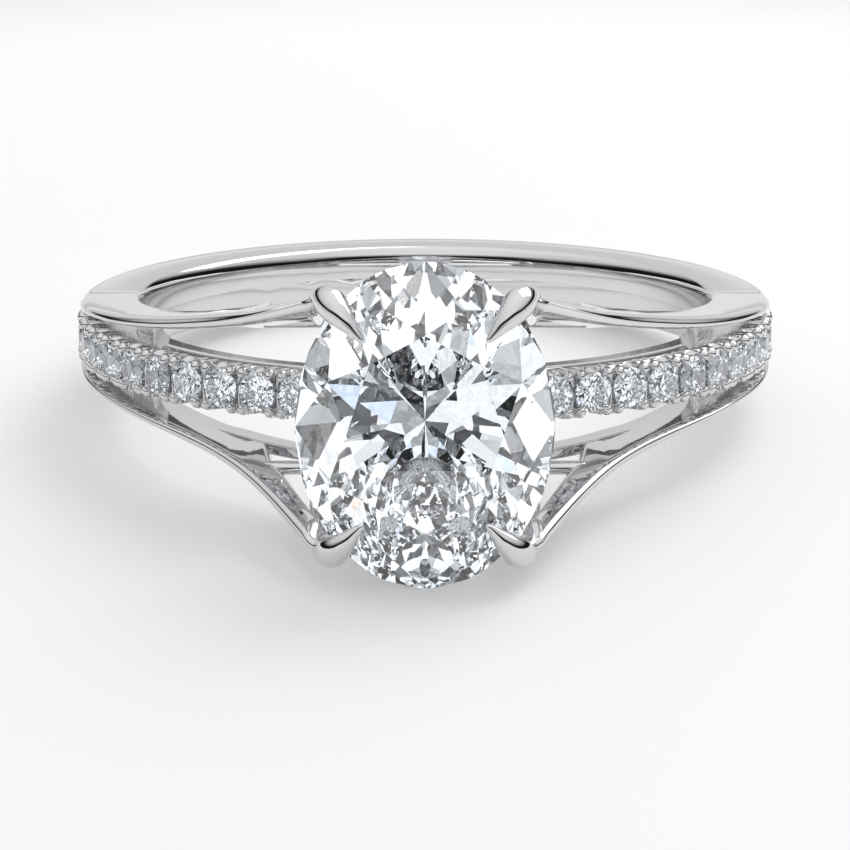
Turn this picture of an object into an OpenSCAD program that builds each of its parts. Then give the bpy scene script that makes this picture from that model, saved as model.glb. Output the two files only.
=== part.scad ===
// Split shank ring with an oval centre stone.
// It is shaped in its own ring frame, with the finger hole along Z and the head towards -Y,
// and then laid down on its side: the stone's lower end and the back of the shank touch Z = 0.

/* [Finger hole] */
// Diameter of the finger hole
finger_d = 17.3; // [16.9:0.1:17.7]

/* [Shank] */
// Width of the plain shank, along the finger
shank_w = 2; // [1.9:0.05:2.1]
// Thickness of the plain shank, from the finger outwards
shank_t = 1.78; // [1.7:0.02:1.84]
// Radius of the shank's outer edges
shank_round = 0.24; // [0.15:0.01:0.3]
// Radius of the shank's inner edges, for comfort
comfort_round = 0.28; // [0.2:0.01:0.3]

/* [Row of side stones] */
// Width of the middle strand that holds the side stones
row_w = 1.38; // [1.34:0.01:1.4]
// Width of the middle strand at the finger
row_foot_w = 1.18; // [1.1:0.02:1.24]
// Depth of the middle strand's metal, from the finger outwards
row_t = 1.62; // [1.58:0.01:1.66]
// Diameter of a side stone
side_stone_d = 1.16; // [1.1:0.01:1.18]
// Side stones on each side of the head
side_stones = 11; // [9:1:11]
// Angle between two neighbouring side stones, around the finger
side_pitch = 6.95; // [6.9:0.01:7.05]
// Angle from the head to the first side stone
side_first = 20.3; // [20:0.1:21]
// Radius of a bead that holds the side stones
bead_r = 0.13; // [0.11:0.01:0.14]

/* [Arms] */
// Gap in the middle of the shank, on each side of the finger plane, where the arms part
arm_near = 0.77; // [0.75:0.01:0.8]
// How far an arm drifts outwards at an even rate
arm_drift = 0.9; // [0.8:0.05:1]
// How far an arm sweeps out beyond that, close to the head
arm_sweep = 1.47; // [1.4:0.01:1.5]
// How far an arm rises from the shank to its claw
arm_rise = 3.5; // [3.3:0.05:3.6]
// Depth of an arm above the open triangle
arm_depth = 0.95; // [0.85:0.01:1]
// Thickness of an arm where it leaves the shank
arm_t_side = 0.28; // [0.25:0.01:0.3]
// Thickness of an arm at its claw
arm_t_head = 0.38; // [0.36:0.01:0.42]

/* [Finger rails] */
// Height of the rails above the finger
rail_t = 0.68; // [0.6:0.01:0.75]
// Width of a rail, along the finger
rail_w = 0.35; // [0.3:0.01:0.4]
// Gap between the finger plane and a rail, under the head
rail_near = 1.86; // [1.8:0.01:1.9]

/* [Head] */
// Length of the centre stone, along the finger
stone_l = 9; // [8.8:0.1:9.2]
// Width of the centre stone, across the finger
stone_w = 7; // [6.8:0.1:7.2]
// Distance from the middle of the finger to the centre stone's girdle
head_r = 13.5; // [13.3:0.05:13.7]
// Height of the centre stone's crown
crown_h = 1.05; // [0.9:0.05:1.1]
// Depth of the centre stone's pavilion
pavilion_h = 3.05; // [2.9:0.05:3.1]
// Radius of a claw at its bulb
claw_r = 0.44; // [0.4:0.01:0.45]
// Radius of the gallery bars that carry the claws
gallery_r = 0.2; // [0.16:0.01:0.22]

/* [Hidden] */
finger_r = finger_d / 2;
shank_r = finger_r + shank_t;
shank_half = shank_w / 2;
row_half = row_w / 2;
row_r = finger_r + row_t;
under_head_r = row_r - 0.2;
// Solids that reach the finger hole start inside it, each at its own depth, and the hole is cut last.
row_inside = finger_r - 0.5;
web_inside = finger_r - 0.4;
arm_inside_r = finger_r - 0.3;
rail_inside = finger_r - 0.2;

// Angles around the finger, from the head at 0 to the back of the shank at 180.
shank_start = 92;
row_end = 96;
arm_start = 97;
web_start = 98;
split_x = 7.74;
crotch = 29.4;
crotch_step = 0.5;
arm_end = 12.4;
arm_ref = 13.3;
rail_end = 42;
rise_start = 47;
dip_start = 75;
dip = 0.15;
arm_step = 0.015;
rail_step = 0.08;
lean_start = 46;
lean_span = 21;
lean_rate = 0.28;
thick_start = 62;
thick_span = 22;
rise_power = 2.8;
sweep_power = 5;
arm_near_round = 0.08;
arm_far_round = 0.16;
rail_round = 0.1;
web_r = finger_r + 1.3;
rail_bow = 0.00024;
gallery_reach = 4.5;
gallery_lift = 0.13;
gallery_out = 0.24;

// Side stone, as parts of its diameter, and its seat.
side_r = side_stone_d / 2;
side_girdle = 0.025;
side_crown = 0.15;
side_pavilion = 0.41;
side_table = 0.56;
side_seat_gap = 0.025;
side_girdle_r = row_r + 0.03;
seat_rim_drop = 0.05;
seat_foot_r = 0.12;
bead_side = 0.17;
bead_off = row_half - bead_r - 0.01;
bead_foot = 0.5;
bead_top_r = row_r + 0.2;

// Centre stone, as parts of its half width and half length.
girdle_h = 0.12;
table_part = 0.6;
star_part = 0.8;
culet_part = 0.24;
stone_gap = 0.03;

// Rest pose: the line that touches the stone's lower end and the back edge of the shank.
head_low = [girdle_h / 2 - head_r, -stone_l / 2];
back_round = [shank_r - shank_round, shank_round - shank_half];
rest_line = back_round - head_low;
rest_tilt = atan2(rest_line[1], rest_line[0]) - asin(shank_round / norm(rest_line));
rest_z = head_low[0] * sin(rest_tilt) - head_low[1] * cos(rest_tilt);
back_reach = back_round[0] * cos(rest_tilt) - back_round[1] * sin(rest_tilt) + shank_round;
claw_tip_y = -head_r - 0.89;
claw_tip_r = 0.1;
claw_tip = [1.72, claw_tip_y, 2.56];
front_reach = claw_tip[1] * cos(rest_tilt) - claw_tip[2] * sin(rest_tilt) - claw_tip_r;
rest_y = -(back_reach + front_reach) / 2;

SIDES = [[1, "r"], [-1, "l"]];
function two_digits(n) = n < 10 ? str("0", n) : str(n);
function side_name(side, n) = str("side_stone_", side[1], two_digits(n + 1));

metal_colour = "#c8cbcf";
stone_colour = "#eef3f8";

// Plain helpers
function clamp(x, low, high) = min(max(x, low), high);
function mix(a, b, part) = a + (b - a) * part;
function unit(v) = v / norm(v);
function spot(angle, r, z) = [r * sin(angle), -r * cos(angle), z];
function steps(from, to, count) = [for (i = [0 : count]) mix(from, to, i / count)];

// A quarter round from one point towards another, about a corner of the outline.
function corner_arc(centre, r, from, count) =
    [for (i = [0 : count]) centre + r * [cos(from + 90 * i / count), sin(from + 90 * i / count)]];

// One corner of a section, rounded with three points.
function soft_corner(before, corner, after, r) =
    let (a = corner + unit(before - corner) * r, b = corner + unit(after - corner) * r)
    [a, (a + 2 * corner + b) / 4, b];

// Four corners: the two at the finger stay sharp, the near and the far one outside are rounded.
function soft_quad(quad, near_round, far_round) =
    concat([quad[0]], soft_corner(quad[0], quad[1], quad[2], near_round),
           soft_corner(quad[1], quad[2], quad[3], far_round), [quad[3]]);

// A closed solid through a list of sections, which all have the same number of points.
module loft(sections) {
    n = len(sections[0]);
    last = len(sections) - 1;
    sides = [for (s = [0 : last - 1]) for (i = [0 : n - 1])
        let (j = (i + 1) % n, a = s * n, b = (s + 1) * n)
        each [[a + i, b + i, b + j], [a + i, b + j, a + j]]];
    polyhedron(points = [for (s = sections) each s],
               faces = concat(sides, [[for (i = [0 : n - 1]) i]],
                              [[for (i = [n - 1 : -1 : 0]) last * n + i]]));
}

module four_quarters() {
    for (x = [0, 1]) for (z = [0, 1]) mirror([x, 0, 0]) mirror([0, 0, z]) children();
}

// The arms, as a function of the angle from the head.
function spread(angle) = (90 - angle) / (90 - arm_ref);
function arm_outer(angle) =
    shank_r - arm_step - dip * clamp((dip_start - angle) / (dip_start - rise_start), 0, 1)
    + arm_rise * pow(clamp((rise_start - angle) / (rise_start - arm_ref), 0, 2), rise_power);
function arm_edge(angle) =
    let (s = spread(angle)) arm_near + arm_drift * s + arm_sweep * pow(max(s, 0), sweep_power);
function arm_lean(angle) = lean_rate * clamp((lean_start - angle) / lean_span, 0, 1.4);
function rail_edge(angle) = rail_near - rail_bow * angle * angle;
function arm_inside(angle, r) =
    let (leaning = arm_edge(angle) - arm_lean(angle) * (arm_outer(angle) - r))
    angle > crotch && angle < lean_start ? max(leaning, rail_edge(angle) + rail_step) : leaning;
function arm_t(angle) = mix(arm_t_side, arm_t_head, clamp((thick_start - angle) / thick_span, 0, 1));

function arm_inner(angle) = angle > crotch ? arm_inside_r : arm_outer(angle) - arm_depth;

function arm_section(angle) =
    let (inner = arm_inner(angle), outer = arm_outer(angle), low = arm_inside(angle, inner),
         high = arm_edge(angle), far = high + arm_t(angle),
         far_inner = angle > crotch ? far : far - arm_lean(angle) / 2 * (outer - inner))
    soft_quad([spot(angle, inner, low), spot(angle, outer, high), spot(angle, outer, far),
               spot(angle, inner, far_inner)], arm_near_round, arm_far_round);

// From the shank to the claw: a wall down to the finger, and past the crotch a free blade.
module arm() {
    loft([for (a = concat(steps(arm_start, crotch + crotch_step, 15), steps(crotch - crotch_step, arm_end, 9)))
        arm_section(a)]);
}

// Recessed metal between the strands, up to where they part. It ends in a flat face square to X.
function web_section(part) =
    let (inner = mix(web_start, asin(split_x / web_inside), part),
         outer = mix(web_start, asin(split_x / web_r), part),
         z = arm_edge(outer) + arm_t(outer) / 2)
    [spot(inner, web_inside, -z), spot(outer, web_r, -z), spot(outer, web_r, z), spot(inner, web_inside, z)];

module web() {
    loft([for (part = steps(0, 1, 10)) web_section(part)]);
}

function rail_section(angle) =
    let (z = rail_edge(angle), outer = finger_r + rail_t)
    soft_quad([spot(angle, rail_inside, z), spot(angle, outer, z),
               spot(angle, outer, z + rail_w), spot(angle, rail_inside, z + rail_w)], rail_round, rail_round);

module rail() {
    loft([for (a = steps(rail_end, -rail_end, 20)) rail_section(a)]);
}

// Plain shank: a rounded section turned about the finger.
module shank_section() {
    inner = finger_r + comfort_round;
    outer = shank_r - shank_round;
    high = shank_half - comfort_round;
    top = shank_half - shank_round;
    polygon(concat(corner_arc([inner, high], comfort_round, 90, 6),
                   corner_arc([inner, -high], comfort_round, 180, 6),
                   corner_arc([outer, -top], shank_round, 270, 6),
                   corner_arc([outer, top], shank_round, 0, 6)));
}

module shank() {
    turn = 2 * (180 - shank_start);
    rotate([0, 0, shank_start - 90]) rotate_extrude(angle = turn, $fn = 180) shank_section();
}

module band_arc(from, to, r) {
    foot = row_foot_w / 2;
    rotate([0, 0, from - 90]) rotate_extrude(angle = to - from, $fn = 180)
        polygon([[row_inside, -foot], [finger_r, -foot], [r, -row_half],
                 [r, row_half], [finger_r, foot], [row_inside, foot]]);
}

function stone_angle(n) = side_first + n * side_pitch;
function junction_angle(n) = side_first + (n - 0.5) * side_pitch;

// Puts a shape that points along +Z, with its base at the finger's axis, at an angle from the head.
module at_angle(angle) {
    rotate([0, 0, angle]) rotate([90, 0, 0]) children();
}

module side_seat() {
    seat_r = side_r + side_seat_gap;
    depth = side_stone_d * side_pavilion;
    translate([0, 0, side_girdle_r - seat_rim_drop]) cylinder(r = seat_r, h = 1, $fn = 32);
    translate([0, 0, side_girdle_r - seat_rim_drop - depth])
        cylinder(r1 = seat_foot_r, r2 = seat_r, h = depth, $fn = 32);
}

module beads() {
    foot = row_r - bead_foot;
    for (n = [0 : side_stones]) for (x = [-1, 1]) for (z = [-1, 1])
        at_angle(junction_angle(n)) translate([x * bead_side, z * bead_off, foot])
            cylinder(r = bead_r, h = bead_top_r - foot, $fn = 24);
}

module row() {
    for (m = [0, 1]) mirror([m, 0, 0]) {
        band_arc(junction_angle(0), row_end, row_r);
        beads();
    }
    band_arc(-junction_angle(0) - 1, junction_angle(0) + 1, under_head_r);
}

module side_seats() {
    for (m = [0, 1]) mirror([m, 0, 0])
        for (n = [0 : side_stones - 1]) at_angle(stone_angle(n)) side_seat();
}

// Claws: round sections along a path from the gallery, past the girdle and over the crown.
// Each row has X, Y from the girdle, Z and the section's radius.
claw_path = [[2.95, 4.1, 2.12, 0.2], [2.94, 3.3, 2.4, 0.25], [2.9, 2.2, 2.78, 0.3],
             [2.82, 1.2, 3.12, 0.35], [2.71, 0.5, 3.36, claw_r - 0.03], [2.6, 0.05, 3.45, claw_r],
             [2.5, -0.26, 3.4, claw_r], [2.36, -0.5, 3.25, claw_r - 0.05],
             [2.14, -0.68, 3.02, claw_r - 0.14], [1.92, -0.8, 2.78, 0.19]];

function claw_spot(i) = [claw_path[i][0], claw_path[i][1] - head_r, claw_path[i][2]];
claw_side = unit([stone_l, 0, -stone_w]);

function claw_section(i) =
    let (last = len(claw_path) - 1,
         ahead = i < last ? claw_spot(i + 1) : claw_tip,
         behind = i > 0 ? claw_spot(i - 1) : claw_spot(0) + [0, 1, 0],
         up = unit(cross(unit(ahead - behind), claw_side)), r = claw_path[i][3])
    [for (a = [0 : 36 : 324]) claw_spot(i) + r * (cos(a) * claw_side + sin(a) * up)];

function tip_section() =
    let (up = unit(cross(unit(claw_tip - claw_spot(len(claw_path) - 1)), claw_side)))
    [for (a = [0 : 36 : 324]) claw_tip + claw_tip_r * (cos(a) * claw_side + sin(a) * up)];

module claw() {
    loft(concat([for (i = [0 : len(claw_path) - 1]) claw_section(i)], [tip_section()]));
}

module gallery_bar() {
    translate([-gallery_reach, -finger_r - rail_t - gallery_lift, rail_near + gallery_out]) rotate([0, 90, 0])
        cylinder(r = gallery_r, h = 2 * gallery_reach, $fn = 32);
}

module strands() {
    for (m = [0, 1]) mirror([m, 0, 0]) web();
    for (m = [0, 1]) mirror([0, 0, m]) {
        rail();
        gallery_bar();
    }
    four_quarters() {
        arm();
        claw();
    }
}

module finger_hole() {
    translate([0, 0, -stone_l]) cylinder(r = finger_r, h = 2 * stone_l, $fn = 180);
}

module ring_metal() {
    color(metal_colour) difference() {
        union() {
            union() {
                shank();
                row();
            }
            union() strands();
        }
        side_seats();
        finger_hole();
        stone_seat();
    }
}

// A brilliant cut, table towards +Z, with its girdle about Z = 0: a table, 8 stars, 8 kites and 16
// upper facets above the girdle, and 16 lower facets and 8 mains below it.
module brilliant(half_x, half_y, crown, pavilion, girdle, table) {
    bevel = 22.5;
    function ring_at(r, z, first, step) =
        [for (k = [0 : 360 / step - 1]) let (a = first + k * step) [half_x * r * cos(a), half_y * r * sin(a), z]];
    top = girdle / 2;
    star_z = top + crown * (1 - star_part * cos(bevel)) / (1 - table);
    low_z = -top - pavilion * (1 - culet_part * cos(bevel));
    points = concat(ring_at(table, top + crown, 0, 45), ring_at(star_part, star_z, bevel, 45),
                    ring_at(1, top, 0, bevel), ring_at(1, -top, 0, bevel),
                    ring_at(culet_part, low_z, bevel, 45), [[0, 0, -top - pavilion]]);
    star = 8;
    upper = 16;
    lower = 32;
    foot = 48;
    culet = 56;
    crown_faces = [for (k = [0 : 7]) let (n = (k + 1) % 8, g = 2 * k) each [
        [k, n, star + k],
        [k, star + k, upper + g, star + (k + 7) % 8],
        [star + k, upper + g + 1, upper + g],
        [star + k, upper + (g + 2) % 16, upper + g + 1]]];
    girdle_faces = [for (k = [0 : 15]) let (n = (k + 1) % 16)
        [upper + k, upper + n, lower + n, lower + k]];
    pavilion_faces = [for (k = [0 : 7]) let (g = 2 * k) each [
        [foot + k, lower + g, lower + g + 1],
        [foot + k, lower + g + 1, lower + (g + 2) % 16],
        [culet, foot + (k + 7) % 8, lower + g, foot + k]]];
    polyhedron(points, concat([[for (k = [0 : 7]) 7 - k]], crown_faces, girdle_faces, pavilion_faces));
}

module centre_cut(gap) {
    translate([0, -head_r, 0]) rotate([90, 0, 0])
        brilliant(stone_w / 2 + gap, stone_l / 2 + gap, crown_h + gap, pavilion_h + gap,
                  girdle_h + gap, table_part);
}

module stone_seat() {
    centre_cut(stone_gap);
}

module centre_stone() {
    color(stone_colour) centre_cut(0);
}

module side_stone(side, n) {
    color(stone_colour) at_angle(side[0] * stone_angle(n)) translate([0, 0, side_girdle_r])
        brilliant(side_r, side_r, side_stone_d * side_crown, side_stone_d * (side_pavilion - side_girdle),
                  side_stone_d * side_girdle, side_table);
}

module rest() {
    translate([0, rest_y, rest_z]) rotate([-rest_tilt, 0, 0]) children();
}

rest() ring_metal();
rest() centre_stone();
for (side = SIDES) for (n = [0 : side_stones - 1])
    rest() side_stone(side, n);
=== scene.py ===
"""Looks of a split shank ring with an oval centre stone.

The ring is shaped in millimetres in its own ring frame, with the finger hole along Z and the head
towards -Y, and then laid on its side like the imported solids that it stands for.
"""

import logging
import math
from dataclasses import dataclass, field
from enum import Enum
from typing import Sequence

import bmesh
import bpy
from mathutils import Matrix, Vector

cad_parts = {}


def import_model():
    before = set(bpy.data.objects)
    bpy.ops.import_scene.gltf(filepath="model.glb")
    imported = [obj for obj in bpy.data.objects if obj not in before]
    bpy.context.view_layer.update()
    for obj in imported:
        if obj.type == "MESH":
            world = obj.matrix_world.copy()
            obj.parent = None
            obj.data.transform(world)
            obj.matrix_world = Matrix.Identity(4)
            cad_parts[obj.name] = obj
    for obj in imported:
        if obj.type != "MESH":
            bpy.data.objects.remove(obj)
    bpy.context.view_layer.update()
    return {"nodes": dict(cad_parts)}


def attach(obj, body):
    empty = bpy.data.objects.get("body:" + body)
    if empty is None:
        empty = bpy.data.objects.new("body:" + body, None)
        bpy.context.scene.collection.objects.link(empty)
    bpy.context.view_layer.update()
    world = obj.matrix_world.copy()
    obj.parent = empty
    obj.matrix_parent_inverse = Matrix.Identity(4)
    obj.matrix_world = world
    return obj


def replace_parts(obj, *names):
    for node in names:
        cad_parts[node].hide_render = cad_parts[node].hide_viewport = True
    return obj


log = logging.getLogger("ring")

MM = 0.001
QUARTER = math.pi / 2
MERGE = 0.0005
CUT_MERGE = 0.002
ORDER_DIGITS = 5
SHARP = math.radians(35)


class Slot(Enum):
    """The record's material slots."""

    METAL = "white_metal"
    STONE = "clear_stone"


class Shading(Enum):
    """How the faces of a piece catch the light."""

    FACETS = "each by itself"
    SOFT = "all as one"
    EVEN = "as one, where the wide ones keep their own direction"


class Way(Enum):
    """A direction, as the sign of an axis."""

    @property
    def word(self) -> str:
        """The direction's word in the names of pieces."""
        return self.name.lower()


class Side(Way):
    """The two halves of the ring, as the sign of X."""

    RIGHT = 1
    LEFT = -1


class Level(Way):
    """The upper and the lower strands, as the sign of Z in the ring frame."""

    UPPER = 1
    LOWER = -1


def clamp(value: float, low: float = 0.0, high: float = 1.0) -> float:
    """Keeps a value between two limits."""
    return min(max(value, low), high)


def mix(a: float, b: float, part: float) -> float:
    """Goes from a to b with a part from 0 to 1."""
    return a + (b - a) * part


def ease(part: float) -> float:
    """Turns an even rise from 0 to 1 into a soft one."""
    t = clamp(part)
    return t * t * (3 - 2 * t)


def spot(angle: float, r: float, z: float) -> Vector:
    """A point at an angle from the head, in degrees, at a radius and a height along the finger."""
    a = math.radians(angle)
    return Vector((r * math.sin(a), -r * math.cos(a), z))


def steps(start: float, stop: float, count: int) -> list[float]:
    """Count + 1 even values from start to stop."""
    return [mix(start, stop, i / count) for i in range(count + 1)]


def mirrored(points: Sequence[Vector], x: float = 1, z: float = 1) -> list[Vector]:
    """Points whose X or Z changes its sign where the factor for it is -1."""
    return [Vector((p.x * x, p.y, p.z * z)) for p in points]


def circle(middle: Vector, r: float, across: Vector, up: Vector, sides: int) -> list[Vector]:
    """The points of a circle that lies in the plane of two directions."""
    turns = [math.tau * k / sides for k in range(sides)]
    return [middle + r * (math.cos(a) * across + math.sin(a) * up) for a in turns]


def smooth_path(points: Sequence[Sequence[float]], parts: int) -> list[list[float]]:
    """Puts a smooth curve through a table of points.

    Args:
        points: Rows of numbers, such as x, y, z and radius.
        parts: How many steps to make between two rows.

    Returns:
        The rows on the curve, the given ones among them.
    """
    made = []
    for i in range(len(points) - 1):
        rows = [points[max(i - 1, 0)], points[i], points[i + 1], points[min(i + 2, len(points) - 1)]]
        for k in range(parts):
            t = k / parts
            weights = (
                -0.5 * t + t * t - 0.5 * t**3,
                1 - 2.5 * t * t + 1.5 * t**3,
                0.5 * t + 2 * t * t - 1.5 * t**3,
                -0.5 * t * t + 0.5 * t**3,
            )
            made.append([sum(w * row[c] for w, row in zip(weights, rows)) for c in range(len(rows[0]))])
    made.append(list(points[-1]))
    return made


def rounded(corners: Sequence[Vector], reaches: Sequence[float | tuple[float, float]],
            count: int) -> list[Vector]:
    """Rounds the corners of a section.

    Args:
        corners: The section's corners, in order.
        reaches: How far each corner's curve reaches along its two sides, or one after the other.
        count: Steps in a rounded corner.

    Returns:
        The points of the rounded section.
    """
    made = []
    for i, (corner, reach) in enumerate(zip(corners, reaches)):
        back, ahead = reach if isinstance(reach, tuple) else (reach, reach)
        before, after = corners[i - 1], corners[(i + 1) % len(corners)]
        a = corner + (before - corner).normalized() * back
        b = corner + (after - corner).normalized() * ahead
        made += [a * (1 - t) ** 2 + corner * 2 * t * (1 - t) + b * t * t for t in steps(0, 1, count)]
    return made


def sweep(bm: bmesh.types.BMesh, rings: Sequence[Sequence[Vector]]) -> None:
    """Extrudes a ring of points through a list of sections with as many points each, and closes the ends.

    Args:
        bm: The mesh to add to.
        rings: The sections.
    """
    sides = len(rings[0])
    verts = list(bmesh.ops.create_circle(bm, cap_ends=False, segments=sides, radius=1.0)["verts"])
    for vert, place in zip(verts, rings[0]):
        vert.co = place
    edges = list(dict.fromkeys(edge for vert in verts for edge in vert.link_edges))
    first = list(edges)
    for ring in rings[1:]:
        made = bmesh.ops.extrude_edge_only(bm, edges=edges)["geom"]
        fresh = {item for item in made if isinstance(item, bmesh.types.BMVert)}
        verts = [next(e.other_vert(v) for e in v.link_edges if e.other_vert(v) in fresh) for v in verts]
        for vert, place in zip(verts, ring):
            vert.co = place
        edges = [item for item in made
                 if isinstance(item, bmesh.types.BMEdge) and all(vert in fresh for vert in item.verts)]
    for rim in (first, edges):
        bmesh.ops.holes_fill(bm, edges=rim, sides=sides)


def turned(r_low: float, r_high: float, length: float, sides: int, axis: str = "") -> bmesh.types.BMesh:
    """Turns a rod or a cone about Z.

    Args:
        r_low: Its radius at its lower end.
        r_high: Its radius at its upper end.
        length: Its length, half of it on each side of the origin.
        sides: How many sides it has.
        axis: The axis, X or Y, about which it is then given a quarter turn.

    Returns:
        Its mesh.
    """
    bm = bmesh.new()
    bmesh.ops.create_cone(bm, cap_ends=True, segments=sides, radius1=r_low, radius2=r_high, depth=length)
    if axis:
        bmesh.ops.rotate(bm, cent=(0, 0, 0), matrix=Matrix.Rotation(QUARTER, 3, axis), verts=bm.verts)
    return bm


def is_sharp(edge: bmesh.types.BMEdge) -> bool:
    """Whether two faces meet at an edge with a clear corner."""
    return len(edge.link_faces) == 2 and edge.calc_face_angle(0) > SHARP


def soften(bm: bmesh.types.BMesh, edges: Sequence[bmesh.types.BMEdge], reach: float, segments: int) -> None:
    """Rounds edges."""
    bmesh.ops.bevel(bm, geom=edges, offset=reach, offset_type="OFFSET", segments=segments, profile=0.5,
                    affect="EDGES", clamp_overlap=True, material=-1)


def mesh_of(bm: bmesh.types.BMesh, name: str, closed: bool = False) -> bpy.types.Mesh:
    """Turns a bmesh into a mesh and frees it.

    Args:
        bm: The bmesh.
        name: The mesh's name.
        closed: Whether it is a closed shape, so that its faces are turned outwards.

    Returns:
        The mesh.
    """
    if closed:
        bmesh.ops.recalc_face_normals(bm, faces=bm.faces)
    mesh = bpy.data.meshes.new(name)
    bm.to_mesh(mesh)
    bm.free()
    return mesh


def in_order(mesh: bpy.types.Mesh) -> bmesh.types.BMesh:
    """Copies a mesh with its parts in order of place, because a cut leaves them in a new order each time.

    Args:
        mesh: The mesh.

    Returns:
        The copy.
    """
    bm = bmesh.new()
    ranks = sorted(range(len(mesh.vertices)), key=lambda i: mesh.vertices[i].co.to_tuple(ORDER_DIGITS))
    rank_of = {index: rank for rank, index in enumerate(ranks)}
    verts = [bm.verts.new(mesh.vertices[index].co) for index in ranks]
    loops = []
    for face in mesh.polygons:
        loop = [rank_of[index] for index in face.vertices]
        start = loop.index(min(loop))
        loops.append(loop[start:] + loop[:start])
    for loop in sorted(loops):
        bm.faces.new([verts[rank] for rank in loop])
    return bm


def carved(base: bpy.types.Mesh, cutters: Sequence[bpy.types.Mesh]) -> bmesh.types.BMesh:
    """Cuts meshes out of another.

    Args:
        base: The mesh to cut. It is removed.
        cutters: The shapes to cut away, one after the other. They are removed.

    Returns:
        The cut mesh, its doubles merged.
    """
    scene = bpy.context.scene
    block = bpy.data.objects.new("carved", base)
    scene.collection.objects.link(block)
    tools = []
    for i, cutter in enumerate(cutters):
        tool = bpy.data.objects.new(f"cutter_{i}", cutter)
        scene.collection.objects.link(tool)
        modifier = block.modifiers.new(f"cut_{i}", "BOOLEAN")
        modifier.operation = "DIFFERENCE"
        modifier.solver = "EXACT"
        modifier.object = tool
        tools.append(tool)
    bpy.context.view_layer.update()
    made = bpy.data.meshes.new_from_object(block.evaluated_get(bpy.context.evaluated_depsgraph_get()))
    bm = in_order(made)
    bmesh.ops.remove_doubles(bm, verts=bm.verts, dist=CUT_MERGE)
    for obj in (block, *tools):
        bpy.data.objects.remove(obj)
    for mesh in (base, *cutters, made):
        bpy.data.meshes.remove(mesh)
    return bm


@dataclass(frozen=True)
class RestPose:
    """How the ring lies on the floor."""

    tilt: float = 8.41901
    back: float = 2.13914
    lift: float = 2.48374

    def matrix(self) -> Matrix:
        """The way from the ring frame in millimetres to the row frame in metres."""
        turn = Matrix.Rotation(math.radians(-self.tilt), 4, "X")
        return Matrix.Scale(MM, 4) @ Matrix.Translation((0, self.back, self.lift)) @ turn


@dataclass
class Bench:
    """Turns meshes in the ring frame into finished pieces that ride on the ring."""

    rest: RestPose
    even_weight: int = 60
    made: list[bpy.types.Object] = field(default_factory=list)

    def piece(self, name: str, bm: bmesh.types.BMesh, finish: bpy.types.Material, slot: Slot,
              shading: Shading) -> bpy.types.Object:
        """Finishes one piece.

        Args:
            name: The piece's name.
            bm: Its mesh, in the ring frame, in millimetres. It is freed.
            finish: Its material.
            slot: The record's slot for its finish; not used.
            shading: How its faces catch the light.

        Returns:
            The piece's object.
        """
        bmesh.ops.remove_doubles(bm, verts=bm.verts, dist=MERGE)
        bmesh.ops.transform(bm, matrix=self.rest.matrix(), verts=bm.verts)
        mesh = mesh_of(bm, name, closed=True)
        mesh.materials.append(finish)
        if shading is not Shading.FACETS:
            mesh.shade_smooth()
        obj = bpy.data.objects.new(name, mesh)
        bpy.context.scene.collection.objects.link(obj)
        if shading is Shading.EVEN:
            modifier = obj.modifiers.new("even_normals", "WEIGHTED_NORMAL")
            modifier.mode = "FACE_AREA"
            modifier.weight = self.even_weight
            modifier.keep_sharp = True
        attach(obj, "root")
        self.made.append(obj)
        log.info("%s: %d faces", name, len(mesh.polygons))
        return obj


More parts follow.
